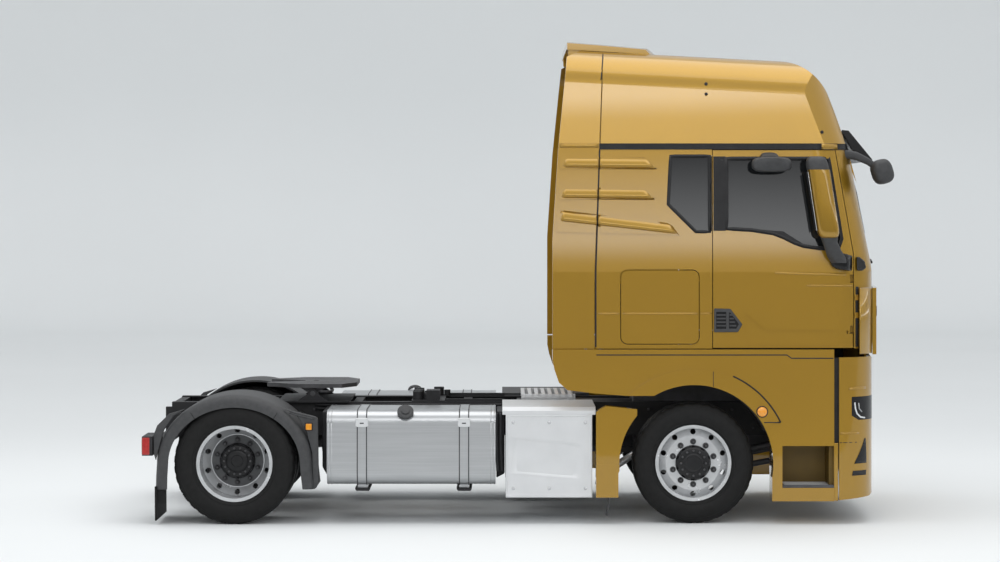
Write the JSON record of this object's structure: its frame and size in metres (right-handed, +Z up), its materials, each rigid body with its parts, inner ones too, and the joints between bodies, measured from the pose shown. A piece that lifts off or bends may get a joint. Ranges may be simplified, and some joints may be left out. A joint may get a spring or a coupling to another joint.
{
  "type": "semi truck tractor unit",
  "caption": "High-roof cab-over tractor unit with tilting cab, opening doors, steered front wheels, twin rear wheels and a fifth wheel coupling for a semi-trailer.",
  "frame": {"origin": "bottom centre of the truck's box, on the ground", "axes": "+X forwards, +Y to the truck's left, +Z up"},
  "size_m": [5.916, 2.96, 3.807],
  "materials": {
    "gold_paint": "metallic gloss",
    "black_frame": "satin",
    "dark_steel": "painted",
    "dark_plastic": "grained",
    "black_plastic": "gloss",
    "aluminium": "brushed",
    "wheel_steel": "silver gloss",
    "wheel_grey": "grey satin",
    "glass": "tinted",
    "lamp_clear": "clear",
    "lamp_red": "clear",
    "tyre": "matte",
    "cloth": "woven"
  },
  "bodies": {
    "chassis": {"frame_rails": "black_frame", "crossmembers": "black_frame", "engine": "dark_steel", "driveline": "dark_steel", "front_axle": "dark_steel", "front_springs": "black_frame", "rear_axle": "dark_steel", "rear_suspension": "black_frame", "fuel_tanks": "aluminium", "tank_straps": "aluminium", "silencer_box": "aluminium", "battery_box": "dark_plastic", "catwalk": "aluminium", "air_valves": "dark_steel", "front_bumper": "gold_paint", "headlamps": "lamp_clear", "fenders": "gold_paint", "arch_liners": "black_plastic", "side_skirts": "gold_paint", "rear_mudguards": "dark_plastic", "tail_lamps": "lamp_red", "fifth_wheel_base": "black_frame"},
    "fifth_wheel": {"fifth_wheel_plate": "dark_steel"},
    "cab": {"cab_floor": "black_frame", "cab_sides": "gold_paint", "cab_rear_wall": "gold_paint", "cab_front": "gold_paint", "roof_ring": "black_plastic", "roof_cap": "gold_paint", "roof_spoiler": "gold_paint", "side_deflectors": "gold_paint", "windscreen": "glass", "side_windows": "glass", "sun_visor": "black_plastic", "seats": "cloth", "bunk": "cloth", "dashboard": "dark_plastic", "front_mirror": "black_plastic"},
    "door_right": {"door_right": "gold_paint", "door_glass_right": "glass", "mirror_right": "gold_paint"},
    "door_left": {"door_left": "gold_paint", "door_glass_left": "glass", "mirror_left": "gold_paint"},
    "locker_right": {"locker_lid_right": "gold_paint"},
    "locker_left": {"locker_lid_left": "gold_paint"},
    "flap": {"front_flap": "gold_paint"},
    "steer_right": {"knuckle_right": "dark_steel"},
    "steer_left": {"knuckle_left": "dark_steel"},
    "wheel_front_right": {"tyre_front_right": "tyre", "rim_front_right": "wheel_steel"},
    "wheel_front_left": {"tyre_front_left": "tyre", "rim_front_left": "wheel_steel"},
    "wheels_rear_right": {"tyres_rear_right": "tyre", "rims_rear_right": "wheel_grey"},
    "wheels_rear_left": {"tyres_rear_left": "tyre", "rims_rear_left": "wheel_grey"}
  },
  "joints": [
    {"name": "cab_tilt", "type": "hinge", "parent": "chassis", "child": "cab", "pos_m": [2.614, 0, 1], "axis": [0, 1, 0], "range_deg": [0, 60]},
    {"name": "door_right_hinge", "type": "hinge", "parent": "cab", "child": "door_right", "pos_m": [2.579, -1.19237, 1.7], "axis": [0, 0, 1], "range_deg": [0, 75]},
    {"name": "door_left_hinge", "type": "hinge", "parent": "cab", "child": "door_left", "pos_m": [2.579, 1.19237, 1.7], "axis": [0, 0, -1], "range_deg": [0, 75]},
    {"name": "locker_right_hinge", "type": "hinge", "parent": "cab", "child": "locker_right", "pos_m": [1.0975, -1.215, 1.911], "axis": [-1, 0, 0], "range_deg": [0, 75]},
    {"name": "locker_left_hinge", "type": "hinge", "parent": "cab", "child": "locker_left", "pos_m": [1.0975, 1.215, 1.911], "axis": [1, 0, 0], "range_deg": [0, 75]},
    {"name": "flap_hinge", "type": "hinge", "parent": "cab", "child": "flap", "pos_m": [2.88, 0, 1.844], "axis": [0, -1, 0], "range_deg": [0, 75]},
    {"name": "steer_right_pin", "type": "hinge", "parent": "chassis", "child": "steer_right", "pos_m": [1.364, -0.87, 0.475], "axis": [0, 0, 1], "range_deg": [-40, 40]},
    {"name": "steer_left_pin", "type": "hinge", "parent": "chassis", "child": "steer_left", "pos_m": [1.364, 0.87, 0.475], "axis": [0, 0, 1], "range_deg": [-40, 40]},
    {"name": "wheel_front_right_spin", "type": "hinge", "parent": "steer_right", "child": "wheel_front_right", "pos_m": [1.364, -1.025, 0.475], "axis": [0, 1, 0], "continuous": true},
    {"name": "wheel_front_left_spin", "type": "hinge", "parent": "steer_left", "child": "wheel_front_left", "pos_m": [1.364, 1.025, 0.475], "axis": [0, 1, 0], "continuous": true},
    {"name": "wheels_rear_right_spin", "type": "hinge", "parent": "chassis", "child": "wheels_rear_right", "pos_m": [-2.236, -0.9225, 0.475], "axis": [0, 1, 0], "continuous": true},
    {"name": "wheels_rear_left_spin", "type": "hinge", "parent": "chassis", "child": "wheels_rear_left", "pos_m": [-2.236, 0.9225, 0.475], "axis": [0, 1, 0], "continuous": true},
    {"name": "fifth_wheel_pivot", "type": "hinge", "parent": "chassis", "child": "fifth_wheel", "pos_m": [-1.676, 0, 0.973], "axis": [0, 1, 0], "range_deg": [-12, 12]}
  ],
  "couplings": [
    {"joint": "steer_left_pin", "follows": "steer_right_pin", "ratio": 1}
  ]
}
